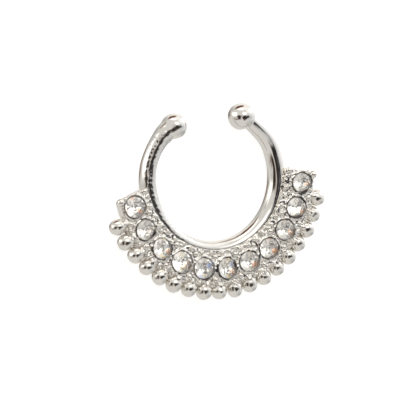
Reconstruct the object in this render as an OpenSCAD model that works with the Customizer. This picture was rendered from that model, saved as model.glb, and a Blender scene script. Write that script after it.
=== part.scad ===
// Fake septum ring with a fan of eleven crystals and a row of edge beads.
// It lies on its back: Z is up, the stones face up, and the gap for the septum points along +Y.
// The origin is the middle of the outline, on the surface that the ring lies on.

/* [Hoop] */
// Inside diameter of the hoop
hoop_inner_d = 10; // [9:0.5:12]
// Thickness of the wire along the fan
wire_d = 1.46; // [1.3:0.02:1.7]
// Thickness of the two bare arms between the fan and the balls
arm_d = 1.36; // [1.2:0.02:1.5]
// Diameter of the ball on each wire end
ball_d = 2.2; // [1.8:0.02:2.6]
// Angle from the middle of the gap to each ball's centre
ball_angle = 32.9; // [28:0.1:45]
// How far each ball's centre lies inside the middle of the wire
ball_inset = 0.22; // [0:0.02:0.3]

/* [Fan] */
// Distance from the hoop's centre to the fan's centre, toward the gap
fan_offset = 0.4; // [0:0.05:0.6]
// Radius of the fan plate's inner wall
plate_inner_r = 6.1; // [6:0.05:6.3]
// Radius of the fan plate's outer wall
plate_outer_r = 8.8; // [8.7:0.05:9]
// Height of the plate's back above the middle of the wire
plate_back = -0.05; // [-0.2:0.01:0.1]
// Thickness of the fan plate
plate_t = 1; // [0.9:0.01:1.2]
// Length of the plate beyond the middle of the last stone
end_length = 1.1; // [1:0.05:1.3]
// How much shorter the plate's end is at its outer corner
end_slant = 0.28; // [0:0.02:0.4]
// How far the end's side walls lie inside those of the plate
end_inset = 0.05; // [0.02:0.01:0.1]

/* [Stones] */
// Number of stones
stone_count = 11; // [5:2:11]
// Diameter of a stone at its girdle
stone_d = 1.72; // [1.5:0.02:1.8]
// Radius of the row of stones
stone_row_r = 7.66; // [7.6:0.02:7.72]
// Angle between neighbouring stones
stone_step = 15.44; // [15:0.02:15.6]
// Height of the table above the girdle
crown_h = 0.27; // [0.2:0.01:0.35]
// Depth of the point below the girdle
pavilion_h = 0.66; // [0.5:0.01:0.7]
// Thickness of the girdle
girdle_t = 0.05; // [0.02:0.01:0.08]
// Gap between a stone and its cup
stone_gap = 0.04; // [0.02:0.005:0.05]

/* [Cups] */
// Wall of the raised rim round each stone
rim_wall = 0.1; // [0.06:0.01:0.12]
// Height of the rim above the plate
rim_h = 0.06; // [0.04:0.01:0.1]

/* [Grains] */
// Diameter of the grains that stand between the stones
grain_d = 0.46; // [0.3:0.02:0.5]
// Distance of the inner grains from the row of stones
grain_in = 1; // [0.9:0.02:1.1]
// Distance of the outer grains from the row of stones
grain_out = 0.8; // [0.7:0.02:0.9]
// How far a corner grain lies back from the end walls
grain_back = 0.06; // [0:0.02:0.2]
// Distance of the inner corner grains from the plate's inner wall
corner_in = 0.32; // [0.25:0.01:0.4]
// Diameter of the small grains along the hoop
seam_grain_d = 0.3; // [0.2:0.02:0.34]
// Radius of the row of small grains
seam_grain_r = 6.4; // [6.35:0.01:6.5]

/* [Edge beads] */
// Number of beads along the fan's outer edge
bead_count = 18; // [9:1:18]
// Diameter of a bead
bead_d = 1.28; // [1.1:0.02:1.3]
// Radius of the row of beads
bead_row_r = 9.5; // [9.4:0.02:9.6]
// Angle between neighbouring beads
bead_step = 8.3; // [8.2:0.02:8.6]
// Height of the beads' centres above the middle of the wire
bead_height = 0.47; // [0.3:0.01:0.6]
// Width of the web that joins the beads to the plate
web_w = 0.5; // [0.3:0.05:0.6]
// Thickness of the web
web_t = 0.56; // [0.3:0.02:0.8]

/* [Hidden] */
$fn = 48;
// How far joined shapes run into each other
overlap = 0.3;
wire_r = wire_d / 2;
arm_r = arm_d / 2;
ball_r = ball_d / 2;
bead_r = bead_d / 2;
stone_r = stone_d / 2;
wire_row_r = hoop_inner_d / 2 + wire_r;
arm_row_r = wire_row_r - (wire_r - arm_r) / 2;
ball_row_r = wire_row_r - ball_inset;
ball_height = ball_r - wire_r;
plate_face = plate_back + plate_t;
girdle_height = plate_face - girdle_t / 2;
seat_r = stone_r + stone_gap;
rim_r = seat_r + rim_wall;
row_half_angle = stone_step * (stone_count - 1) / 2;
// The thick wire gives way to the arms behind the fan's corner, this many degrees past the last stone
corner_angle = 13;
arm_start = row_half_angle + corner_angle;
arm_lap = 1;
// Main facets on each side of a stone
facets = 8;
// Radii of the table, star and half facets' corners, as shares of the stone's radius
table_share = 0.56;
star_share = 0.78;
half_share = 0.45;

// The outline reaches from the balls to the lowest beads, and the origin is its middle.
outline_top = ball_row_r * cos(ball_angle) + ball_r;
lowest_bead_angle = bead_count % 2 == 0 ? bead_step / 2 : 0;
outline_bottom = fan_offset - bead_row_r * cos(lowest_bead_angle) - bead_r;
hoop_y = -(outline_top + outline_bottom) / 2;

function two_digits(i) = str(i < 10 ? "0" : "", i);
stone_names = [for (i = [1 : stone_count]) str("stone_", two_digits(i))];

// Angles are measured from the bottom of the ring, toward +X.
function spread(i, count, step) = (i - (count - 1) / 2) * step;

module at_hoop() {
  translate([0, hoop_y, wire_r]) children();
}

module on_circle(angle, radius, height) {
  rotate([0, 0, angle - 90]) translate([radius, 0, height]) children();
}

module at_fan(angle, radius, height) {
  translate([0, fan_offset, 0]) on_circle(angle, radius, height) children();
}

module wire_arc(from_angle, to_angle, row_r, r) {
  rotate([0, 0, from_angle - 90])
    rotate_extrude(angle = to_angle - from_angle)
      translate([row_r, 0]) circle(r);
}

module hoop() {
  wire_arc(-arm_start, arm_start, wire_row_r, wire_r);
  for (side = [-1, 1]) {
    ball_from_bottom = side * (180 - ball_angle);
    arm_from_bottom = side * (arm_start - arm_lap);
    wire_arc(min(arm_from_bottom, ball_from_bottom), max(arm_from_bottom, ball_from_bottom),
             arm_row_r, arm_r);
    on_circle(ball_from_bottom, ball_row_r, ball_height) sphere(ball_r);
  }
}

// An arc of the fan with a rectangular section, as far either side of the fan's middle.
module fan_arc(half_angle, inner_r, outer_r, bottom, thickness) {
  translate([0, fan_offset, 0]) rotate([0, 0, -half_angle - 90])
    rotate_extrude(angle = 2 * half_angle)
      translate([inner_r, bottom]) square([outer_r - inner_r, thickness]);
}

// The square end of the fan past the middle of the last stone, with its slanted end wall.
module end_block() {
  inner_x = plate_inner_r + end_inset;
  outer_x = plate_outer_r - end_inset;
  linear_extrude(plate_t)
    polygon([[inner_x, -overlap], [outer_x, -overlap],
             [outer_x, end_length - end_slant], [inner_x, end_length]]);
}

module plate() {
  fan_arc(row_half_angle, plate_inner_r, plate_outer_r, plate_back, plate_t);
  for (side = [-1, 1]) at_fan(side * row_half_angle, 0, plate_back)
    scale([1, side, 1]) end_block();
}

module cup_rims() {
  for (i = [0 : stone_count - 1])
    at_fan(spread(i, stone_count, stone_step), stone_row_r, plate_face - overlap)
      cylinder(h = overlap + rim_h, r = rim_r);
}

// Each seat is a short bore over a cone, so that the stone sits in it at its girdle.
module seats() {
  bore_depth = girdle_t + stone_gap;
  for (i = [0 : stone_count - 1])
    at_fan(spread(i, stone_count, stone_step), stone_row_r, plate_face) {
      translate([0, 0, -bore_depth]) cylinder(h = bore_depth + overlap, r = seat_r);
      translate([0, 0, -bore_depth - pavilion_h]) cylinder(h = pavilion_h, r1 = stone_gap, r2 = seat_r);
    }
}

module grains() {
  for (i = [0 : stone_count - 2]) {
    angle = spread(i, stone_count - 1, stone_step);
    at_fan(angle, stone_row_r - grain_in, plate_face) sphere(grain_d / 2);
    at_fan(angle, stone_row_r + grain_out, plate_face) sphere(grain_d / 2);
  }
  for (side = [-1, 1]) at_fan(side * row_half_angle, 0, plate_face) {
    translate([plate_inner_r + corner_in, side * (end_length - grain_back), 0]) sphere(grain_d / 2);
    translate([plate_outer_r - grain_back, side * (end_length - end_slant - grain_back), 0])
      sphere(grain_d / 2);
  }
}

module seam_grains() {
  count = 2 * stone_count;
  for (i = [0 : count - 1])
    at_fan(spread(i, count, stone_step / 2), seam_grain_r, plate_face) sphere(seam_grain_d / 2);
}

module edge_beads() {
  for (i = [0 : bead_count - 1])
    at_fan(spread(i, bead_count, bead_step), bead_row_r, bead_height) sphere(bead_r);
  fan_arc(bead_step * (bead_count - 1) / 2, plate_outer_r - overlap, plate_outer_r + web_w,
          bead_height - web_t / 2, web_t);
}

module ring_casting() {
  color("silver") at_hoop() difference() {
    union() {
      hoop();
      plate();
      cup_rims();
      grains();
      seam_grains();
      edge_beads();
    }
    seats();
  }
}

// A ring of points at one height, as a row of a faceted stone.
function ring(count, radius, z, start) =
  [for (k = [0 : count - 1]) let (a = start + k * 360 / count) [radius * cos(a), radius * sin(a), z]];

// The height at which a main facet, a plane through two points of its middle line, passes a corner.
function main_facet_z(r1, z1, r2, z2, corner_r) =
  z1 + (z2 - z1) * (corner_r * cos(180 / facets) - r1) / (r2 - r1);

// A round brilliant: table, stars, mains and halves above the girdle, halves and mains below it.
module brilliant(r) {
  half_turn = 180 / facets;
  rim = 2 * facets;
  upper_z = girdle_t / 2;
  table_z = upper_z + crown_h;
  point_z = -upper_z - pavilion_h;
  table_r = r * table_share;
  star_r = r * star_share;
  half_r = r * half_share;
  table = ring(facets, table_r, table_z, 0);
  stars = ring(facets, star_r, main_facet_z(table_r, table_z, r, upper_z, star_r), half_turn);
  upper = ring(rim, r, upper_z, 0);
  lower = ring(rim, r, -upper_z, 0);
  halves = ring(facets, half_r, main_facet_z(0, point_z, r, -upper_z, half_r), half_turn);
  // Number of each group's first point, in the order in which the groups are joined below
  star0 = facets;
  upper0 = star0 + facets;
  lower0 = upper0 + rim;
  half0 = lower0 + rim;
  tip = half0 + facets;
  sides = [0 : facets - 1];
  polyhedron(
    concat(table, stars, upper, lower, halves, [[0, 0, point_z]]),
    concat(
      [[for (k = [facets - 1 : -1 : 0]) k]],
      [for (k = sides) [k, (k + 1) % facets, star0 + k]],
      [for (k = sides) [k, star0 + k, upper0 + 2 * k, star0 + (k + facets - 1) % facets]],
      [for (k = sides) [star0 + k, upper0 + 2 * k + 1, upper0 + 2 * k]],
      [for (k = sides) [star0 + k, upper0 + (2 * k + 2) % rim, upper0 + 2 * k + 1]],
      [for (j = [0 : rim - 1]) let (n = (j + 1) % rim) [upper0 + j, upper0 + n, lower0 + n, lower0 + j]],
      [for (k = sides) [half0 + k, lower0 + 2 * k, lower0 + 2 * k + 1]],
      [for (k = sides) [half0 + k, lower0 + 2 * k + 1, lower0 + (2 * k + 2) % rim]],
      [for (k = sides) [tip, half0 + (k + facets - 1) % facets, lower0 + 2 * k, half0 + k]]
    )
  );
}

module stone(i) {
  color("lightcyan") at_hoop()
    at_fan(spread(i, stone_count, stone_step), stone_row_r, girdle_height) brilliant(stone_r);
}

ring_casting();
for (i = [0 : stone_count - 1]) stone(i);
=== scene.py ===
import math
import random

import bmesh
import bpy
from mathutils import Matrix, Vector


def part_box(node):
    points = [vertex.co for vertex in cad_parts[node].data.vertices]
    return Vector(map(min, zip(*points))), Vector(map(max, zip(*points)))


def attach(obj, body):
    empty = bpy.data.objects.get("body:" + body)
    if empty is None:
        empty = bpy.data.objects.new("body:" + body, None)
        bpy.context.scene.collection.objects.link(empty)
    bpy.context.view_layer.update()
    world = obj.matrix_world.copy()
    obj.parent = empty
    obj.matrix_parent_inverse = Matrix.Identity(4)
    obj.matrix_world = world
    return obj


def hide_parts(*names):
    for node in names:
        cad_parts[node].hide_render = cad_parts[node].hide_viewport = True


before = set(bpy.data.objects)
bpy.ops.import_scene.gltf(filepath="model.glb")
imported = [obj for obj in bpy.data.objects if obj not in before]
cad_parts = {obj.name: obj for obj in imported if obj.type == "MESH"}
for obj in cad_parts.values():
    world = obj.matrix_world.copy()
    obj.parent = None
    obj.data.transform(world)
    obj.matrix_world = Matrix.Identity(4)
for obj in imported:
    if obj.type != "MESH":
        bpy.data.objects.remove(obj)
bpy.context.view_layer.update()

# The pieces are made in millimetres, as jewellery is, and brought to metres at the end.
MM = 0.001
# Points nearer to each other than this are one point.
TOUCHING = 0.0001

# Hoop
HOOP_INSIDE = 10.0
WIRE = 1.46
ARM_AT_BALL = 1.3
BALL = 2.2
BALL_FROM_GAP = math.radians(32.9)
BALL_INSET = 0.22
WIRE_ROW = (HOOP_INSIDE + WIRE) / 2
BALL_LIFT = (BALL - WIRE) / 2
# The left ball's size beside the right one's, and how far it stands back along its arm
LEFT_BALL = 0.95
LEFT_BACK = 0.06
# From where to where an arm turns inward, rises and ends in its ball, in ball radii past the ball's middle
ARM_TURNS = (-3.6, -1.2)
ARM_RISES = (-4.2, -0.7)
ARM_ENDS = (-0.3, 0.2)
# Metal that fills the left arm out: its middle past the ball's middle, and its reach to either side
LEFT_SWELL_PLACE = (-0.9, 2.2)
OUTER_FILL_PLACE = (-1.05, 0.8)
INNER_FILL_PLACE = (-1.15, 0.7)

# Fan plate, round a middle that lies above the hoop's by the offset
FAN_OFFSET = 0.4
PLATE_INNER = 6.1
PLATE_OUTER = 8.8
PLATE_BACK = -0.05
PLATE_THICK = 1.0
PLATE_FACE = PLATE_BACK + PLATE_THICK
END_LENGTH = 1.1
END_SLANT = 0.28
END_INSET = 0.05
END_ROUNDING = 0.24

# Stones and their cups
STONE_COUNT = 11
STONE = 1.72
PAVILION = 0.66
GIRDLE = 0.05
CROWN = 0.27
CUP_WALL = 0.14
CUP_RISE = 0.1
# A seat is a cone with a blunt point, a short bore, and a mouth that flares above the plate's face.
SEAT_RADIUS = 0.885
SEAT_BORE = 0.09
SEAT_CONE = 0.66
SEAT_POINT = 0.04
SEAT_FLARE = 0.02
SEAT_MOUTH = 0.4
# The least and the most that a stone is tipped in its cup, in degrees
TIPPED = (1.0, 7.0)
# How wide and how long each stone shows between its cup's lips, beside a round one
SHOWN = ((1.0, 1.0), (0.95, 0.94), (0.88, 0.97), (0.97, 0.98), (0.97, 0.98), (0.9, 0.98),
         (0.97, 0.94), (0.97, 0.97), (0.94, 0.95), (0.96, 0.95), (0.91, 0.92))
# The draw that turns, tips and dulls each stone. Of ten tried, a comparison with the
# photograph chose this one. Its seed is DRAWS_APART times its number, and the stone's own number on top.
STONE_DRAWS = (2, 7, 9, 4, 9, 7, 8, 2, 4, 4, 2)
DRAWS_APART = 100

# Edge beads, drawn out a little along and away from the fan
BEAD_COUNT = 18
BEAD = 1.28
BEAD_ROW = 9.5
BEAD_STEP = math.radians(8.3)
BEAD_LIFT = 0.47
BEAD_STRETCH = (1.04, 1.12, 1.0)
BEAD_OUT = 0.06

# Web that joins the beads to the plate
WEB_INNER = 8.5
WEB_OUTER = 9.12
WEB_BACK = 0.19
WEB_THICK = 0.56

# Bead necks, high and low, and small grains along the plate's two edges
NECK = (0.66, 0.96, 0.8)
NECK_ROW = PLATE_OUTER + 0.2
NECK_LIFT = BEAD_LIFT + 0.28
LOW_NECK = (0.42, 0.44, 0.5)
LOW_NECK_ROW = PLATE_OUTER + 0.1
LOW_NECK_LIFT = BEAD_LIFT + 0.1
SMALL_GRAIN = 0.32
SEAM_GRAIN_ROW = PLATE_INNER + 0.28
EDGE_GRAIN_ROW = PLATE_OUTER + 0.02
EDGE_GRAIN_LIFT = PLATE_FACE - 0.04

# Each row draws its random places from a seed of its own, and its random sizes from the next one.
SEED = 11

# Size of a cell when the fan's shapes are fused into one casting, and the heights between which its skin
# becomes fully uneven
CAST_CELL = 0.055
SKIN_RISES = (PLATE_FACE - 0.6, PLATE_FACE - 0.3)

# The seam between hoop and fan has painted shade, most on the left: where across the ring the shade starts,
# and is full
SEAM_SHADE = (-0.5, -5.5)

# Wear on the wire: where along it, from its lowest point, the left arm's pits begin and are full, where pits
# and lines end before the balls, and above which heights the pits lie
PITS_BEGIN = (1.0, 5.0)
PITS_END = (14.5, 13.5)
LINES_END = (13.6, 12.4)
PITS_ABOVE = (1.1, 1.35)

# Plating where it is bright and where it is worn, and the painted shade in its recesses
WIRE_SILVER = ((0.9, 0.882, 0.85, 1), (0.82, 0.8, 0.765, 1))
FAN_SILVER = ((0.9, 0.873, 0.828, 1), (0.82, 0.79, 0.742, 1))
RECESS_SHADE = (0.07, 0.05, 0.035, 1)

# Foil where it is new and where it is dull, its faint painted glow, and the colours of the painted glints in
# it
NEW_FOIL = (1.0, 0.997, 0.985, 1)
DULL_FOIL = (0.86, 0.853, 0.836, 1)
FOIL_PAINTED_GLOW = (1.0, 0.985, 0.96, 1)
ORANGE = (1.0, 0.48, 0.2, 1)
YELLOW = (1.0, 0.82, 0.4, 1)
BLUE = (0.4, 0.55, 1.0, 1)
BLACK = (0, 0, 0, 1)
WHITE = (1, 1, 1, 1)
# Painted coloured glints on each stone's right, warm below and cool above: the colour of each, its middle
# right and up of the stone's and its reach, in stone radii, and at which shares of chance it is out and lit
FOIL_PAINTED_GLINTS = ((ORANGE, 0.62, -0.34, 0.42, 0.36, 0.5),
               (YELLOW, 0.1, -0.72, 0.4, 0.64, 0.52),
               (BLUE, 0.68, 0.2, 0.45, 0.58, 0.46))

# Camera: the photograph's view, 26 degrees off the ring's face, from the ring's left
VIEW_TURN = math.radians(-6.76)
VIEW_SIDE = math.radians(-25.91)
VIEW_TIP = math.radians(-2.14)
view_turned = (Matrix.Rotation(VIEW_TURN, 4, "Z") @ Matrix.Rotation(VIEW_SIDE, 4, "Y")
               @ Matrix.Rotation(VIEW_TIP, 4, "X"))
VIEW_RIGHT, VIEW_UP, VIEW_BACK = (view_turned.to_3x3().col[i].copy() for i in range(3))
# How far off the camera stands, in metres, and the width of its sensor, in millimetres
VIEW_DISTANCE = 0.3
SENSOR = 36.0
PHOTO_PIXELS = 416
PIXELS_PER_MM = 12.466
# The middle of the photograph, from the hoop's middle, in millimetres right and up
PHOTO_MIDDLE = (-0.345, -2.39)

# What the metal mirrors, as it shows on a mirror ball seen from the front. Each spot has its strength, its
# middle across and up, its half width and half height, and how soft its edge is.
LAMPS = ((1.4, -0.5, 0.16, 0.27, 0.22, 0.9), (1.8, 0.22, 0.2, 0.22, 0.11, 0.9),
         (1.2, 0.0, 0.55, 0.44, 0.12, 0.9), (0.4, 0.7, 0.45, 0.4, 0.3, 0.9))
DIM_CLOTH = ((0.24, 0.7, -0.6, 0.5, 0.4, 0.8), (0.24, -0.78, 0.6, 0.34, 0.4, 0.8),
             (0.18, 0.45, -0.05, 0.4, 0.3, 0.9))
# The tent's opening is a dark band with a lighter place in it, and hangs lower in two places.
BAND = (0.85, 0.0, -0.01, 0.6, 0.14, 0.6)
BAND_GAP = (0.75, 0.05, 0.0, 0.09, 0.3, 0.7)
HANGING = ((1.0, -0.16, -0.09, 0.2, 0.21, 0.6), (1.0, 0.25, -0.1, 0.22, 0.26, 0.45))
OPENING_TOP = (0.1, 0.05)
# Its seams: right of the opening, low on the left, at the far left, over the top and as flecks
RIGHT_SEAM = ((0.7, 0.46, -0.02, 0.12, 0.15, 0.5), (0.3, 0.62, -0.06, 0.34, 0.12, 0.9))
LOW_SEAM = ((0.75, -0.42, -0.2, 0.28, 0.12, 0.7),)
FAR_SEAM = ((0.6, -0.92, 0.22, 0.22, 0.5, 0.8),)
TOP_SEAM = (0.92, -0.16, 0.72, 0.44, 0.12, 0.6)
TOP_SEAM_SLOPE = 0.22
TOP_SEAM_BOW = 0.3
FLECKS = ((0.4, 0.22, 0.53, 0.12, 0.1, 0.9), (0.3, 0.25, 0.36, 0.12, 0.08, 0.9))
# The dark is deeper where the balls mirror it, and thinner where the left arm does.
DEEPER = ((0.3, 0.34, -0.04, 0.24, 0.24, 0.8), (0.3, -0.18, -0.04, 0.14, 0.16, 0.8))
THINNER = ((0.42, -0.5, -0.02, 0.27, 0.4, 0.8),)
CLOTH_LEFT = (1.0, 0.98, 0.94, 1)
CLOTH_RIGHT = (0.985, 0.99, 1.0, 1)
DARK_LEFT = (1.0, 0.8, 0.69, 1)
DARK_RIGHT = (0.97, 0.97, 1.0, 1)
TOP_SEAM_BROWN = (1.0, 0.55, 0.36, 1)
BACKDROP_LIGHT = 1.1
# How far the cloth's unevenness moves what shows in it
WANDER_ACROSS = 0.2
WANDER_UP = 0.16


def stone_middle(number):
    """The middle of a stone's own box, in millimetres."""
    low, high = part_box(f"stone_{number:02d}")
    return (low + high) / 2 / MM


LOW_STONE = (STONE_COUNT + 1) // 2
first_stone = stone_middle(1)
low_stone = stone_middle(LOW_STONE)
# The stones stand on a circle, and these are its middle and radius.
fan_y = (first_stone.x ** 2 + first_stone.y ** 2 - low_stone.y ** 2) / (2 * (first_stone.y - low_stone.y))
STONE_ROW = fan_y - low_stone.y
STONE_HALF_ANGLE = math.atan2(-first_stone.x, fan_y - first_stone.y)
STONE_STEP = 2 * STONE_HALF_ANGLE / (STONE_COUNT - 1)
FAN = Vector((0, fan_y, WIRE / 2))
HOOP = Vector((0, fan_y - FAN_OFFSET, WIRE / 2))


class Value:
    """An output socket of a node tree. Arithmetic on it adds Math nodes to the same tree."""

    def __init__(self, nodes, socket):
        self.nodes, self.socket = nodes, socket

    def also(self, name):
        """Another output of the same node."""
        return Value(self.nodes, self.socket.node.outputs[name])

    def __add__(self, other):
        return self.nodes.math("ADD", self, other)

    def __sub__(self, other):
        return self.nodes.math("SUBTRACT", self, other)

    def __rsub__(self, other):
        return self.nodes.math("SUBTRACT", other, self)

    def __mul__(self, other):
        return self.nodes.math("MULTIPLY", self, other)

    def __truediv__(self, other):
        return self.nodes.math("DIVIDE", self, other)

    def __rtruediv__(self, other):
        return self.nodes.math("DIVIDE", other, self)

    def __pow__(self, other):
        return self.nodes.math("POWER", self, other)

    def __neg__(self):
        return self.nodes.math("MULTIPLY", self, -1.0)

    def __abs__(self):
        return self.nodes.math("ABSOLUTE", self)

    __radd__, __rmul__ = __add__, __mul__


def between(first, last, share):
    """From the first value to the last one by this share."""
    return first + (last - first) * share


class Nodes:
    """A node tree, and the one method that adds any node to it."""

    def __init__(self, tree):
        self.tree = tree

    def add(self, kind, settings=(), inputs=(), out=0):
        """Adds a node with its settings, then the values or links of its sockets, and gives one output."""
        node = self.tree.nodes.new(kind)
        for name, value in dict(settings).items():
            setattr(node, name, value)
        for name, value in dict(inputs).items():
            for one in value if isinstance(value, list) else [value]:
                if isinstance(one, Value):
                    self.tree.links.new(one.socket, node.inputs[name])
                else:
                    node.inputs[name].default_value = one
        return Value(self, node.outputs[out]) if len(node.outputs) else node

    def math(self, operation, *values):
        return self.add("ShaderNodeMath", {"operation": operation}, dict(enumerate(values)))

    def vector(self, operation, *values, out=0, scale=None):
        inputs = dict(enumerate(values))
        if scale is not None:
            inputs["Scale"] = scale
        return self.add("ShaderNodeVectorMath", {"operation": operation}, inputs, out)

    def smooth_step(self, value, low, high):
        """0 below low, 1 above high, and a soft step between them."""
        return self.add("ShaderNodeMapRange", {"interpolation_type": "SMOOTHSTEP"},
                        {0: value, 1: low, 2: high})

    def hump(self, value, middle, half_width):
        """1 at the middle, falling softly to 0 at half a width from it."""
        return 1 - self.smooth_step(abs(value - middle), 0.0, half_width)

    def noise(self, place, scale, detail):
        return self.add("ShaderNodeTexNoise", (), {"Vector": place, "Scale": scale, "Detail": detail})

    def attribute(self, name, out="Fac"):
        return self.add("ShaderNodeAttribute", {"attribute_name": name}, out=out)

    def parts(self, vector):
        """A vector's X part. Its Y and Z parts come with also()."""
        return self.add("ShaderNodeSeparateXYZ", (), {0: vector})

    def store(self, geometry, name, value, kind="FLOAT"):
        return self.add("GeometryNodeStoreNamedAttribute", {"data_type": kind},
                        {"Geometry": geometry, "Name": name, "Value": value})

    def push(self, geometry, distance):
        """Moves every point of a surface outward by this distance."""
        shift = self.vector("SCALE", self.add("GeometryNodeInputNormal"), scale=distance)
        return self.add("GeometryNodeSetPosition", (), {"Geometry": geometry, "Offset": shift})

    def blend_colours(self, share, first, second):
        return self.add("ShaderNodeMix", {"data_type": "RGBA"}, {0: share, 6: first, 7: second}, out=2)

    def xyz(self, x, y, z):
        return self.add("ShaderNodeCombineXYZ", (), {0: x, 1: y, 2: z})


def drive(material, driven):
    """Links each value to the shader's socket of that name."""
    shader = material.node_tree.nodes["Principled BSDF"]
    for name, value in driven.items():
        material.node_tree.links.new(value.socket, shader.inputs[name])


def new_material(name, settings):
    """A material with these plain values on its shader's sockets, and its nodes."""
    material = bpy.data.materials.new(name)
    material.use_nodes = True
    shader = material.node_tree.nodes["Principled BSDF"]
    for socket, value in settings.items():
        shader.inputs[socket].default_value = value
    return material, Nodes(material.node_tree)


def mesh_of(shape, name):
    """The finished mesh of a shape that was built point by point."""
    mesh = bpy.data.meshes.new(name)
    shape.to_mesh(mesh)
    shape.free()
    return mesh


def joined(name, meshes):
    """One mesh of several, which are used up."""
    whole = bmesh.new()
    for mesh in meshes:
        whole.from_mesh(mesh)
        bpy.data.meshes.remove(mesh)
    return mesh_of(whole, name)


def new_piece(name, data=None):
    piece = bpy.data.objects.new(name, data or bpy.data.meshes.new(name))
    bpy.context.scene.collection.objects.link(piece)
    return piece


def geometry_tree(name, sizes):
    """A Geometry Nodes tree with a named input for each size, and those inputs as values."""
    tree = bpy.data.node_groups.new(name, "GeometryNodeTree")
    tree.interface.new_socket("Geometry", in_out="INPUT", socket_type="NodeSocketGeometry")
    tree.interface.new_socket("Geometry", in_out="OUTPUT", socket_type="NodeSocketGeometry")
    for size, value in sizes.items():
        kind = {int: "NodeSocketInt", float: "NodeSocketFloat"}.get(type(value), "NodeSocketObject")
        tree.interface.new_socket(size, in_out="INPUT", socket_type=kind)
    nodes = Nodes(tree)
    given = nodes.add("NodeGroupInput")
    return nodes, given, {size: given.also(size) for size in sizes}


def end_tree(nodes, geometry, material):
    """Ends a tree with plain geometry, and with its material where the piece already has its last shape."""
    whole = nodes.add("GeometryNodeRealizeInstances", (), {"Geometry": geometry})
    if material:
        whole = nodes.add("GeometryNodeSetMaterial", (), {"Geometry": whole, "Material": material})
    nodes.add("NodeGroupOutput", (), {"Geometry": whole})


def use_tree(piece, nodes, sizes):
    """Puts the tree on the piece with its sizes, each set by its socket's identifier."""
    modifier = piece.modifiers.new(nodes.tree.name, "NODES")
    modifier.node_group = nodes.tree
    for item in nodes.tree.interface.items_tree:
        if item.in_out == "INPUT" and item.name in sizes:
            modifier[item.identifier] = sizes[item.name]


def bake_form(piece):
    """Turns what the modifiers make into the piece's own plain mesh."""
    evaluated = piece.evaluated_get(bpy.context.evaluated_depsgraph_get())
    mesh = bpy.data.meshes.new_from_object(evaluated, preserve_all_data_layers=True,
                                           depsgraph=bpy.context.evaluated_depsgraph_get())
    piece.modifiers.clear()
    piece.data = mesh
    return piece


def finish_piece(piece, node):
    """Hands a finished piece to the frame, in place of the solid that it dresses."""
    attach(piece, "root")
    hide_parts(node)


def finish_metal(piece):
    """Brings a metal piece from millimetres to metres. All of them together dress the one casting."""
    piece.data.transform(Matrix.Scale(MM, 4))
    piece.data.name = piece.name
    finish_piece(piece, "ring_casting")


def silver_plating(name, silver, wire=False):
    """Bright plating over a zinc casting: slightly warm, softly uneven, with painted shade in its recesses.
    """
    material, nodes = new_material(name, {"Metallic": 1.0})
    place = nodes.add("ShaderNodeTexCoord", out="Object")
    worn = nodes.noise(place, 0.7 / MM, 3.0)
    fine = nodes.noise(place, 5.2 / MM, 2.0)
    recess = nodes.attribute("recess")
    # Where shade is painted in the recesses, the colour darkens to a dark brown.
    colour = nodes.blend_colours(recess, nodes.blend_colours(worn, *silver), RECESS_SHADE)
    roughness = 0.09 + 0.08 * worn + 0.22 * recess
    height = worn + 0.25 * fine
    if wire:
        # The left arm is pitted on top, from the mould, and the right one has fine lines along it.
        along = nodes.attribute("along")
        left = nodes.smooth_step(-along, *PITS_BEGIN)
        on_top = nodes.smooth_step(nodes.parts(place).also("Z") / MM, *PITS_ABOVE)
        pits = 0.1 * fine + 1.5 * nodes.noise(place, 3.9 / MM, 0.0) * on_top
        pits = pits * left * nodes.smooth_step(-along, *PITS_END)
        lines = 0.5 * nodes.noise(nodes.xyz(nodes.attribute("around") * 20, along * 0.1, 0.0), 1.0, 1.0)
        lines = lines * (1 - left) * nodes.smooth_step(along, *LINES_END)
        roughness = 0.05 + 0.06 * worn + 0.22 * recess + 0.05 * left
        height = 0.6 * worn + pits + lines
    bump = nodes.add("ShaderNodeBump", (), {"Strength": 0.6, "Distance": 0.03 * MM, "Height": height})
    drive(material, {"Base Color": colour, "Roughness": roughness, "Normal": bump})
    return material


def foiled_crystal():
    """Clear glass above the girdle and a silver foil below it, with small painted coloured glints and a faint
    painted glow in the foil.
    """
    material, nodes = new_material("foiled_crystal", {"IOR": 1.56, "Emission Strength": 0.13,
                                                      "Transmission Weight": 1.0})
    place = nodes.add("ShaderNodeTexCoord", out="Object")
    low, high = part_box(f"stone_{LOW_STONE:02d}")
    girdle = low.z + (high.z - low.z) * PAVILION / (PAVILION + GIRDLE + CROWN)
    foil = nodes.math("LESS_THAN", nodes.parts(place).also("Z"), girdle)
    out = nodes.parts(nodes.attribute("from_middle", "Vector"))
    chance = nodes.noise(place, 0.33 / MM, 0.0)
    flicker = nodes.smooth_step(nodes.noise(place, 3.3 / MM, 1.0), 0.42, 0.56)
    colour = nodes.blend_colours(nodes.attribute("dull"), NEW_FOIL, DULL_FOIL)
    # Painted coloured glints, each on its own side of the stone.
    for light, right, up, reach, unlit, lit in FOIL_PAINTED_GLINTS:
        way = nodes.math("SQRT", (out - right) ** 2 + (out.also("Y") - up) ** 2)
        near = 1 - nodes.smooth_step(way, 0.3 * reach, reach)
        share = near * flicker * foil * nodes.smooth_step(chance, unlit, lit)
        colour = nodes.blend_colours(share, colour, light)
    # The foil glows faintly, a painted light that brightens the stones.
    painted_glow = nodes.blend_colours(foil, BLACK, FOIL_PAINTED_GLOW)
    drive(material, {"Base Color": colour, "Metallic": foil, "Roughness": foil * 0.1, "Emission Color": painted_glow})
    return material


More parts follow.
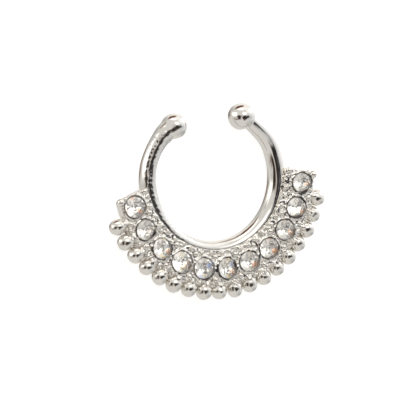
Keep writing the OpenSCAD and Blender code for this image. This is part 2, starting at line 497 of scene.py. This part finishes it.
def wire_reach(nodes, size, to_ball, past, ball_radius, left):
    """How far the tapered wire with its ball reaches outward and inward from its path, and how it rises.

    The ball stands a little inside the path: the right arm turns inward first, and the left arm runs straight
    into its ball."""
    thin = nodes.smooth_step(past, (size["Taper From"] - 1) * to_ball, 0.0)
    wire = between(size["Wire Radius"], size["Arm Radius"], thin)
    wire = wire + size["Left Swell"] * left * nodes.hump(past, *LEFT_SWELL_PLACE)
    turn, rise, ended = (nodes.smooth_step(past, first * ball_radius, last * ball_radius)
                         for first, last in (ARM_TURNS, ARM_RISES, ARM_ENDS))
    # Past its end the wire has no radius left, so only the ball counts.
    wire = wire - 2 * ended
    ball = nodes.math("SQRT", nodes.math("MAXIMUM", ball_radius ** 2 - past * past, 0.0))
    neck = (size["Neck"] + size["Left Neck"] * left) * nodes.smooth_step(-past, 0.0, size["Neck Reach"])
    inset = size["Ball Inset"] * turn * (1 - left)
    outward = nodes.math("SMOOTH_MAX", wire - inset, ball - size["Ball Inset"], neck)
    inward = nodes.math("SMOOTH_MAX", wire + inset, ball + size["Ball Inset"], neck * size["Inner Neck"])
    outward = outward + size["Outer Fill"] * left * nodes.hump(past, *OUTER_FILL_PLACE)
    inward = inward + size["Inner Fill"] * left * nodes.hump(past, *INNER_FILL_PLACE)
    return outward, inward, size["Ball Lift"] * rise


def hoop_seam_shade(nodes):
    """Painted shade in the corner between the wire's top and the fan's inner wall, wider and darker on the
    left.
    """
    place = nodes.add("GeometryNodeInputPosition")
    x = nodes.parts(place)
    y, z = x.also("Y"), x.also("Z")
    from_fan = nodes.math("SQRT", x ** 2 + (y - FAN.y) ** 2)
    on_left = nodes.smooth_step(x, *SEAM_SHADE)
    wide = between(0.05, 0.25, on_left * on_left)
    beside = nodes.smooth_step(from_fan, PLATE_INNER - wide, PLATE_INNER - wide * 0.4)
    above = nodes.smooth_step(z, HOOP.z, HOOP.z + 0.3)
    below_ends = nodes.smooth_step(y, FAN.y + 0.1, FAN.y - 0.9)
    broken = nodes.smooth_step(nodes.noise(place, 2.6, 1.0), 0.38, 0.56)
    return beside * above * below_ends * between(0.1, 0.8, on_left) * between(0.25, 1.0, broken)


def hoop_wire(material):
    """The round wire, thinner toward its ends, with a ball on each end, swept along its path."""
    sizes = {"Row Radius": WIRE_ROW, "Wire Radius": WIRE / 2, "Arm Radius": ARM_AT_BALL / 2,
             "Taper From": 0.45, "Ball Radius": BALL / 2, "Left Ball": LEFT_BALL, "Left Back": LEFT_BACK,
             "Ball Angle": BALL_FROM_GAP, "Ball Inset": BALL_INSET, "Ball Lift": BALL_LIFT,
             "Neck": 0.12, "Left Neck": 0.16, "Inner Neck": 1.5, "Neck Reach": 0.9, "Left Swell": 0.06,
             "Outer Fill": 0.04, "Inner Fill": 0.1, "Unevenness": 0.025, "Rings": 900, "Sides": 72}
    nodes, _, size = geometry_tree("hoop_wire", sizes)
    # Rings stand closer together over this length at each end, so that the ball's end is round.
    easing = 1.0
    line = nodes.add("GeometryNodeCurvePrimitiveLine", (), {"Start": (-1, 0, 0), "End": (1, 0, 0)})
    line = nodes.add("GeometryNodeResampleCurve", (), {"Curve": line, "Count": size["Rings"]})
    share = nodes.add("GeometryNodeInputIndex") / (size["Rings"] - 1) * 2 - 1
    side = nodes.math("SIGN", share)
    left = nodes.math("LESS_THAN", side, 0.0)
    ball_radius = size["Ball Radius"] * (1 - (1 - size["Left Ball"]) * left)
    to_ball = (math.pi - size["Ball Angle"]) * size["Row Radius"] - size["Left Back"] * left
    end = to_ball + ball_radius
    from_end = (1 - abs(share)) * (end + easing / 2)
    eased = nodes.math("MINIMUM", from_end, easing)
    along = end - (eased * eased / (2 * easing) + from_end - eased)
    past = along - to_ball
    # The path runs round the hoop's circle as far as the ball, and straight on through it.
    angle = nodes.math("MINIMUM", along, to_ball) / size["Row Radius"]
    sine, cosine = nodes.math("SINE", angle), nodes.math("COSINE", angle)
    straight = nodes.math("MAXIMUM", past, 0.0)
    x = sine * size["Row Radius"] + cosine * straight
    y = sine * straight - cosine * size["Row Radius"]
    path = nodes.xyz(x * side, y, 0.0)
    line = nodes.add("GeometryNodeSetPosition", (), {"Geometry": line, "Position": path})
    outward, inward, lift = wire_reach(nodes, size, to_ball, past, ball_radius, left)
    radius = (outward + inward) / 2
    inset = (inward - outward) / 2
    shift = nodes.xyz(-sine * inset * side, cosine * inset, lift)
    line = nodes.store(line, "along", along * side)
    line = nodes.store(line, "shift", shift, "FLOAT_VECTOR")
    profile = nodes.add("GeometryNodeCurvePrimitiveCircle", (), {"Resolution": size["Sides"], "Radius": 1.0})
    profile = nodes.store(profile, "around", nodes.add("GeometryNodeInputIndex") / size["Sides"])
    swept = {"Curve": line, "Profile Curve": profile, "Scale": radius}
    tube = nodes.add("GeometryNodeCurveToMesh", (), swept)
    tube = nodes.add("GeometryNodeMergeByDistance", (), {"Geometry": tube, "Distance": TOUCHING})
    # The rings are moved only now, so they stay square to the path and the ball stays round.
    shift = nodes.add("GeometryNodeInputNamedAttribute", {"data_type": "FLOAT_VECTOR"}, {"Name": "shift"})
    tube = nodes.add("GeometryNodeSetPosition", (), {"Geometry": tube, "Offset": shift})
    swell = nodes.noise(nodes.add("GeometryNodeInputPosition"), 0.8, 1.0) - 0.5
    tube = nodes.push(tube, swell * size["Unevenness"])
    tube = nodes.add("GeometryNodeTransform", (), {"Geometry": tube, "Translation": tuple(HOOP)})
    # The painted shade along the seam with the fan is stored on the wire.
    end_tree(nodes, nodes.store(tube, "recess", hoop_seam_shade(nodes)), material)
    piece = new_piece("hoop_wire")
    use_tree(piece, nodes, sizes)
    return bake_form(piece)


def on_fan(angle, radius, height):
    """A point of the fan, its angle measured from the lowest point toward the ring's right."""
    return FAN + Vector((radius * math.sin(angle), -radius * math.cos(angle), height))


def prism(name, outline, bottom, top, corners=(), rounding=0.0):
    """A closed solid over an outline that runs anticlockwise, with these corners rounded."""
    shape = bmesh.new()
    rings = [[shape.verts.new((point.x, point.y, z)) for point in outline] for z in (bottom, top)]
    shape.faces.new(list(reversed(rings[0])))
    shape.faces.new(rings[1])
    for i in range(len(outline)):
        j = (i + 1) % len(outline)
        shape.faces.new((rings[0][i], rings[0][j], rings[1][j], rings[1][i]))
    upright = [shape.edges.get(ends) for point, *ends in zip(outline, *rings) if point in corners]
    if upright:
        bmesh.ops.bevel(shape, geom=upright, offset=rounding, segments=4, profile=0.5, affect="EDGES")
    return mesh_of(shape, name)


def arc_outline(half_angle, inner, outer, corners=((), ())):
    """A ring's arc from above, run anticlockwise, with further points past its right and its left end."""
    steps = 64
    sweep = [half_angle * (2 * i / steps - 1) for i in range(steps + 1)]
    return ([on_fan(angle, outer, 0) for angle in sweep] + list(corners[0])
            + [on_fan(angle, inner, 0) for angle in reversed(sweep)] + list(corners[1]))


def past_end(side, radius, length):
    """A point beyond the last stone on one side, straight on from the fan's arc."""
    forward = Vector((math.cos(STONE_HALF_ANGLE) * side, math.sin(STONE_HALF_ANGLE), 0))
    return on_fan(side * STONE_HALF_ANGLE, radius, 0) + forward * length


def plate():
    """The fan plate: an arc of a ring, with a slanted end past each last stone, its corners rounded."""
    outer = {side: past_end(side, PLATE_OUTER - END_INSET, END_LENGTH - END_SLANT) for side in (-1, 1)}
    inner = {side: past_end(side, PLATE_INNER + END_INSET, END_LENGTH) for side in (-1, 1)}
    outline = arc_outline(STONE_HALF_ANGLE, PLATE_INNER, PLATE_OUTER,
                          ((outer[1], inner[1]), (inner[-1], outer[-1])))
    corners = [*outer.values(), *inner.values()]
    return prism("plate", outline, FAN.z + PLATE_BACK, FAN.z + PLATE_FACE, corners, END_ROUNDING)


def fan_row(nodes, shape, count, step, radius, height, jitter=0.0, size_jitter=0.0, seed=0):
    """Copies of a shape along the fan, each turned away from the fan's middle and a little out of place."""
    points = nodes.add("GeometryNodePoints", (), {"Count": count})
    angle = (nodes.add("GeometryNodeInputIndex") - (count - 1) / 2) * step
    spot = nodes.xyz(nodes.math("SINE", angle) * radius, -nodes.math("COSINE", angle) * radius, height)
    if jitter:
        shift = nodes.add("FunctionNodeRandomValue", {"data_type": "FLOAT_VECTOR"},
                          {0: (-jitter, -jitter, -jitter / 2), 1: (jitter, jitter, jitter / 2), "Seed": seed})
        spot = nodes.vector("ADD", spot, shift)
    spot = nodes.vector("ADD", spot, tuple(FAN))
    points = nodes.add("GeometryNodeSetPosition", (), {"Geometry": points, "Position": spot})
    turn = nodes.xyz(0.0, 0.0, angle)
    scale = (1.0, 1.0, 1.0)
    if size_jitter:
        scale = nodes.add("FunctionNodeRandomValue", {"data_type": "FLOAT"},
                          {2: 1 - size_jitter, 3: 1 + size_jitter, "Seed": seed + 1}, out=1)
    return nodes.add("GeometryNodeInstanceOnPoints", (),
                     {"Points": points, "Instance": shape, "Rotation": turn, "Scale": scale})


def round_grain(nodes, size, subdivisions, stretch=(1, 1, 1), middle=(0, 0, 0)):
    """A ball of this width, stretched and then moved."""
    ball = nodes.add("GeometryNodeMeshIcoSphere", (), {"Radius": size / 2, "Subdivisions": subdivisions})
    return nodes.add("GeometryNodeTransform", (), {"Geometry": ball, "Scale": stretch, "Translation": middle})


def fan_blank():
    """The plate and the web behind the beads, before anything is raised on them."""
    web_outline = arc_outline(BEAD_STEP * (BEAD_COUNT - 1) / 2, WEB_INNER, WEB_OUTER)
    web = prism("web", web_outline, FAN.z + WEB_BACK, FAN.z + WEB_BACK + WEB_THICK)
    return joined("fan_casting", [plate(), web])


def raised_work(sizes):
    """The tree that adds cups, small grains and bead necks to the blank."""
    nodes, given, size = geometry_tree("raised_work", sizes)
    depth = PLATE_THICK / 2
    cup = nodes.add("GeometryNodeMeshCylinder", (),
                    {"Vertices": 64, "Radius": size["Cup Radius"], "Depth": size["Cup Rise"] + depth})
    cup_middle = PLATE_FACE + (size["Cup Rise"] - depth) / 2
    grain = round_grain(nodes, size["Small Grain"], 3)
    neck = round_grain(nodes, 1.0, 4, NECK)
    low_neck = round_grain(nodes, 1.0, 4, LOW_NECK)
    cups = fan_row(nodes, cup, STONE_COUNT, STONE_STEP, STONE_ROW, cup_middle)
    # Each row's shape, how many, their step, place and height, how far they stray, and its seed
    rows = [fan_row(nodes, *row) for row in (
        (grain, 2 * STONE_COUNT, STONE_STEP / 2, SEAM_GRAIN_ROW, PLATE_FACE, 0.08, 0.25, SEED + 4),
        (neck, BEAD_COUNT, BEAD_STEP, NECK_ROW, NECK_LIFT, 0.05, 0.12, SEED + 6),
        (low_neck, BEAD_COUNT - 1, BEAD_STEP, LOW_NECK_ROW, LOW_NECK_LIFT, 0.05, 0.2, SEED + 8),
        (grain, 2 * BEAD_COUNT - 1, BEAD_STEP / 2, EDGE_GRAIN_ROW, EDGE_GRAIN_LIFT, 0.09, 0.25, SEED + 10))]
    end_tree(nodes, nodes.add("GeometryNodeJoinGeometry", (), {0: [given, cups, *rows]}), None)
    return nodes


def cast_skin(material, sizes):
    """The tree that gives the fused casting its uneven skin, and marks where shade is painted round the
    stones and along the seam.
    """
    nodes, given, size = geometry_tree("cast_skin", sizes)
    place = nodes.add("GeometryNodeInputPosition")
    x = nodes.parts(place)
    y, z = x.also("Y"), x.also("Z")
    radius = nodes.math("SQRT", x ** 2 + (FAN.y - y) ** 2)
    seats = nodes.add("GeometryNodeObjectInfo", {"transform_space": "RELATIVE"}, {"Object": size["Seats"]},
                      out="Geometry")
    from_seat = nodes.add("GeometryNodeProximity", {"target_element": "FACES"}, {0: seats}, out="Distance")
    # The skin swells and is pitted on top, and stays true round the seats and on the back.
    open_metal = nodes.smooth_step(from_seat, 0.04, 0.2)
    swell = nodes.noise(place, 2.2, 1.0) - 0.5
    pits = nodes.smooth_step(nodes.noise(place, 3.6, 0.0), 0.5, 0.3)
    top = nodes.smooth_step(z - FAN.z, *SKIN_RISES)
    lift = (swell * size["Unevenness"] - pits * size["Pits"]) * open_metal * between(0.3, 1.0, top)
    shaped = nodes.push(given, lift)
    # Painted shade lies round each stone, wider in some places than in others and most of all on the stone's
    # left.
    angle = nodes.math("ARCTAN2", x, FAN.y - y)
    last = (STONE_COUNT - 1) / 2
    nearest = nodes.math("MAXIMUM", nodes.math("ROUND", angle / STONE_STEP), -last)
    nearest = nodes.math("MINIMUM", nearest, last)
    stone_x = nodes.math("SINE", nearest * STONE_STEP) * STONE_ROW
    stone_shade = nodes.noise(place, 1.1, 0.0) - size["Dirt Lean"] * (x - stone_x) / SEAT_RADIUS
    stone_shade = nodes.smooth_step(stone_shade, 0.42, 0.6)
    round_cup = 1 - nodes.smooth_step(from_seat, 0.01, between(0.04, 0.14, stone_shade))
    round_cup = round_cup * between(0.4, 1.0, stone_shade) * top
    # It also lies along the seam with the hoop.
    on_left = nodes.smooth_step(x, *SEAM_SHADE)
    seam = nodes.smooth_step(radius, PLATE_INNER + size["Seam Width"], PLATE_INNER) * top
    seam = seam * between(0.1, 0.9, on_left)
    recess = nodes.math("MAXIMUM", round_cup, seam)
    end_tree(nodes, nodes.store(shaped, "recess", recess), material)
    return nodes


def fan_casting(material):
    """The plate with its cups, small grains and bead necks, fused as one casting and cut for the stones."""
    piece = new_piece("fan_casting", fan_blank())
    raised = {"Cup Radius": SEAT_RADIUS + CUP_WALL, "Cup Rise": CUP_RISE, "Small Grain": SMALL_GRAIN}
    use_tree(piece, raised_work(raised), raised)
    fuse = piece.modifiers.new("fuse", "REMESH")
    fuse.mode, fuse.voxel_size = "VOXEL", CAST_CELL
    fuse.use_smooth_shade = True
    soften = piece.modifiers.new("soften", "SMOOTH")
    soften.factor, soften.iterations = 0.5, 2
    cutters = new_piece("seat_cutters", seat_cutters())
    cut = piece.modifiers.new("seats", "BOOLEAN")
    cut.operation, cut.solver, cut.object = "DIFFERENCE", "MANIFOLD", cutters
    # The lean sets how far the painted shade round the stones leans to their left.
    skin = {"Seats": cutters, "Unevenness": 0.13, "Pits": 0.09, "Dirt Lean": 0.13, "Seam Width": 0.08}
    use_tree(piece, cast_skin(material, skin), skin)
    bake_form(piece)
    bpy.data.objects.remove(cutters)
    return piece


def corner_grains():
    """The grains on the corners of the plate's ends: where each stands, and its share of a grain's size."""
    inner = (PLATE_INNER + 0.36, END_LENGTH - 0.22, 1.0)
    outer = (PLATE_OUTER - 0.56, END_LENGTH - END_SLANT + 0.02, 0.9)
    corner = (PLATE_OUTER - 0.13, END_LENGTH - END_SLANT - 0.08, 1.35)
    return [(past_end(side, radius, length), share)
            for side in (-1, 1) for radius, length, share in (inner, outer, corner)]


def grains(material):
    """The smooth round grains between the stones and on the plate's corners, half sunk in the casting."""
    sizes = {"Grain": 0.48, "Inside": 0.98, "Outside": 0.86, "Sunk": 0.09}
    nodes, _, size = geometry_tree("grains", sizes)
    grain = round_grain(nodes, size["Grain"], 4)
    height = PLATE_FACE - size["Sunk"]
    rows = [fan_row(nodes, grain, STONE_COUNT - 1, STONE_STEP, out, height, 0.05, 0.15, seed)
            for out, seed in ((STONE_ROW - size["Inside"], SEED), (STONE_ROW + size["Outside"], SEED + 2))]
    up = nodes.xyz(0.0, 0.0, height)
    for spot, share in corner_grains():
        moved = {"Translation": nodes.vector("ADD", tuple(spot), up), "Scale": (share, share, share)}
        rows.append(nodes.add("GeometryNodeTransform", (), {"Geometry": grain, **moved}))
    whole = nodes.add("GeometryNodeJoinGeometry", (), {0: rows})
    whole = nodes.add("GeometryNodeSetShadeSmooth", (), {"Geometry": whole, "Shade Smooth": True})
    end_tree(nodes, whole, material)
    piece = new_piece("grains")
    use_tree(piece, nodes, sizes)
    return bake_form(piece)


def lathe(profile, sides):
    """A closed solid turned from a profile of (radius, height) points, the first and last on the axis."""
    shape = bmesh.new()
    spokes = [(math.cos(2 * math.pi * k / sides), math.sin(2 * math.pi * k / sides)) for k in range(sides)]
    rings = []
    for radius, height in profile:
        used = spokes if radius else spokes[:1]
        rings.append([shape.verts.new((radius * x, radius * y, height)) for x, y in used])
    for low, high in zip(rings, rings[1:]):
        for k in range(sides):
            n = (k + 1) % sides
            corners = [low[k % len(low)], low[n % len(low)], high[n % len(high)], high[k % len(high)]]
            shape.faces.new(list(dict.fromkeys(corners)))
    return mesh_of(shape, "turned")


def shown_shape(number):
    """How a round stone or seat is squeezed to the shape that shows between its cup's lips."""
    wide, long = SHOWN[number - 1]
    return Matrix.Diagonal((wide, long, 1, 1))


def seat_cutters():
    """One solid per stone that cuts its seat: a cone, a short bore and a flared mouth."""
    bottom = -SEAT_BORE - SEAT_CONE
    profile = [(0, bottom), (SEAT_POINT, bottom), (SEAT_RADIUS, -SEAT_BORE), (SEAT_RADIUS, 0.0),
               (SEAT_RADIUS + SEAT_FLARE, SEAT_MOUTH), (0, SEAT_MOUTH)]
    seats = []
    for number in range(1, STONE_COUNT + 1):
        middle = stone_middle(number)
        seat = lathe(profile, 96)
        seat.transform(Matrix.Translation((middle.x, middle.y, FAN.z + PLATE_FACE)) @ shown_shape(number))
        seats.append(seat)
    return joined("seat_cutters", seats)


def edge_beads(material):
    """The row of round beads along the fan's outer edge."""
    sizes = {"Bead": BEAD, "Row Radius": BEAD_ROW, "Step": BEAD_STEP, "Unevenness": 0.1}
    nodes, _, size = geometry_tree("edge_beads", sizes)
    bead = round_grain(nodes, size["Bead"], 5, BEAD_STRETCH, (0, BEAD_OUT, 0))
    row = fan_row(nodes, bead, BEAD_COUNT, size["Step"], size["Row Radius"], BEAD_LIFT, 0.03, 0.02, SEED + 12)
    row = nodes.add("GeometryNodeRealizeInstances", (), {"Geometry": row})
    swell = nodes.noise(nodes.add("GeometryNodeInputPosition"), 1.2, 1.0) - 0.5
    row = nodes.push(row, swell * size["Unevenness"])
    row = nodes.add("GeometryNodeSetShadeSmooth", (), {"Geometry": row, "Shade Smooth": True})
    end_tree(nodes, row, material)
    piece = new_piece("edge_beads")
    use_tree(piece, nodes, sizes)
    return bake_form(piece)


def crystals(material):
    """Each stone as it was glued in: its own node's shape, turned and tipped a little in its cup."""
    for number in range(1, STONE_COUNT + 1):
        draw = random.Random(STONE_DRAWS[number - 1] * DRAWS_APART + number)
        name = f"stone_{number:02d}"
        low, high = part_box(name)
        middle = (low + high) / 2
        turn = draw.uniform(0, math.pi / 4)
        tip = math.radians(draw.uniform(*TIPPED))
        toward = draw.uniform(0, 2 * math.pi)
        tipped = Matrix.Rotation(tip, 4, (math.cos(toward), math.sin(toward), 0))
        pose = shown_shape(number) @ tipped @ Matrix.Rotation(turn, 4, "Z")
        shape = bmesh.new()
        shape.from_mesh(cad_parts[name].data)
        bmesh.ops.remove_doubles(shape, verts=shape.verts, dist=TOUCHING * MM)
        shape.transform(Matrix.Translation(middle) @ pose @ Matrix.Translation(-middle))
        mesh = mesh_of(shape, f"crystal_{number:02d}")
        mesh.materials.clear()
        mesh.materials.append(material)
        # How far each corner lies from the stone's middle, in stone radii
        from_middle = mesh.attributes.new("from_middle", "FLOAT_VECTOR", "POINT")
        for place, corner in zip(from_middle.data, mesh.vertices):
            place.vector = (corner.co - middle) / (STONE / 2 * MM)
        # The foil has dulled more under some stones than under others.
        dull = draw.uniform(0.0, 1.0)
        mesh.attributes.new("dull", "FLOAT", "POINT").data.foreach_set("value", [dull] * len(mesh.vertices))
        finish_piece(new_piece(mesh.name, mesh), name)


def camera():
    """The photograph's camera: a long lens, so that the ring shows at the photograph's scale."""
    lens = bpy.data.cameras.new("camera")
    piece = new_piece("camera", lens)
    frame_width = PHOTO_PIXELS / PIXELS_PER_MM * MM
    lens.sensor_width = SENSOR
    lens.lens = SENSOR * VIEW_DISTANCE / frame_width
    lens.clip_start, lens.clip_end = 0.01, 10.0
    right, up = PHOTO_MIDDLE
    looked_at = (HOOP + VIEW_RIGHT * right + VIEW_UP * up) * MM
    piece.matrix_world = Matrix.Translation(looked_at + VIEW_BACK * VIEW_DISTANCE) @ view_turned
    bpy.context.scene.camera = piece


def studio():
    """A white tent round the ring: its dark opening, seams and lamps show as spots and lines in the metal."""
    world = bpy.data.worlds.new("studio")
    bpy.context.scene.world = world
    world.use_nodes = True
    nodes = Nodes(world.node_tree)
    world.node_tree.nodes.clear()
    toward = nodes.add("ShaderNodeTexCoord", out="Generated")
    # The place on a mirror ball, seen from the front, where this direction shows
    half = nodes.vector("NORMALIZE", nodes.vector("ADD", toward, tuple(VIEW_BACK)))
    across = nodes.vector("DOT_PRODUCT", half, tuple(VIEW_RIGHT), out="Value")
    up = nodes.vector("DOT_PRODUCT", half, tuple(VIEW_UP), out="Value")

    # The tent's cloth isn't even, so the edges of what shows in it wander.
    place = nodes.xyz(across, up, 0.0)
    blotch = nodes.noise(place, 7.0, 2.0)
    elsewhere = nodes.vector("ADD", place, (3.0, 5.0, 0.0))
    across = across + WANDER_ACROSS * (nodes.noise(place, 4.5, 1.0) - 0.5)
    up = up + WANDER_UP * (nodes.noise(elsewhere, 4.5, 1.0) - 0.5)

    def spot(middle_across, middle_up, wide, high, edge):
        """1 inside an ellipse on the mirror ball, 0 outside it, with an edge that is this soft."""
        reach = nodes.math("SQRT", ((across - middle_across) / wide) ** 2 + ((up - middle_up) / high) ** 2)
        return 1 - nodes.smooth_step(reach, 1 - edge, 1.0)

    def spots(rows):
        """Spots of different strengths, added up."""
        return sum(strength * spot(*shape) for strength, *shape in rows)

    # The cloth is brightest toward the upper right.
    wall = 0.8 + 0.32 * nodes.smooth_step(up * 0.8 + across * 0.6, 0.1, 0.8)
    wall = wall - spots(DIM_CLOTH) - 0.14 * blotch + spots(LAMPS)
    band = spots([BAND]) * (1 - spots([BAND_GAP]))
    hanging = nodes.math("MAXIMUM", spots(HANGING[:1]), spots(HANGING[1:]))
    dark = nodes.math("MAXIMUM", band, hanging) * nodes.smooth_step(up, *OPENING_TOP)
    strength, middle_across, middle_up, *shape = TOP_SEAM
    bowed = middle_up + across * TOP_SEAM_SLOPE - across * across * TOP_SEAM_BOW
    top_seam = strength * spot(middle_across, bowed, *shape)
    for seam in (spots(RIGHT_SEAM), spots(LOW_SEAM), spots(FAR_SEAM), top_seam, spots(FLECKS)):
        dark = nodes.math("MAXIMUM", dark, seam)
    dark = dark * (0.6 + 0.7 * blotch + spots(DEEPER) - spots(THINNER))
    light = wall * (1 - nodes.math("MINIMUM", dark, 0.95))
    cloth = nodes.blend_colours(nodes.smooth_step(across, 0.2, 0.8), CLOTH_LEFT, CLOTH_RIGHT)
    shade = nodes.blend_colours(nodes.smooth_step(across, 0.2, 0.42), DARK_LEFT, DARK_RIGHT)
    shade = nodes.blend_colours(nodes.smooth_step(top_seam, 0.0, 0.5), shade, TOP_SEAM_BROWN)
    tint = nodes.blend_colours(nodes.smooth_step(dark, 0.1, 0.8), cloth, shade)

    # The camera itself sees white behind the ring.
    to_camera = nodes.add("ShaderNodeLightPath", out="Is Camera Ray")
    light = between(light, BACKDROP_LIGHT, to_camera)
    background = nodes.add("ShaderNodeBackground", (), {"Color": tint, "Strength": light})
    nodes.add("ShaderNodeOutputWorld", (), {"Surface": background})


def floor():
    """White paper. The photograph is exposed until it is pure white, so it glows a little for the camera."""
    shape = bmesh.new()
    bmesh.ops.create_grid(shape, x_segments=1, y_segments=1, size=1.0)
    mesh = mesh_of(shape, "floor")
    material, nodes = new_material("white_paper", {"Base Color": (0.8, 0.8, 0.79, 1), "Roughness": 0.9,
                                                   "Specular IOR Level": 0.0, "Emission Strength": 0.65})
    path = nodes.add("ShaderNodeLightPath", out="Is Camera Ray")
    drive(material, {"Emission Color": nodes.blend_colours(path, BLACK, WHITE)})
    # The tent closes round the ring below as well, so the metal mirrors its cloth and not the paper's edge.
    clear = nodes.add("ShaderNodeBsdfTransparent")
    paper = Value(nodes, material.node_tree.nodes["Principled BSDF"].outputs[0])
    surface = nodes.add("ShaderNodeMixShader", (), {0: path.also("Is Glossy Ray"), 1: paper, 2: clear})
    output = material.node_tree.nodes["Material Output"]
    material.node_tree.links.new(surface.socket, output.inputs["Surface"])
    mesh.materials.append(material)
    new_piece("floor", mesh)


bpy.context.scene.view_settings.view_transform = "Standard"
plating = silver_plating("silver_plating", FAN_SILVER)
wire_plating = silver_plating("silver_plating_wire", WIRE_SILVER, wire=True)
camera()
studio()
floor()
finish_metal(hoop_wire(wire_plating))
finish_metal(fan_casting(plating))
finish_metal(edge_beads(plating))
finish_metal(grains(plating))
crystals(foiled_crystal())
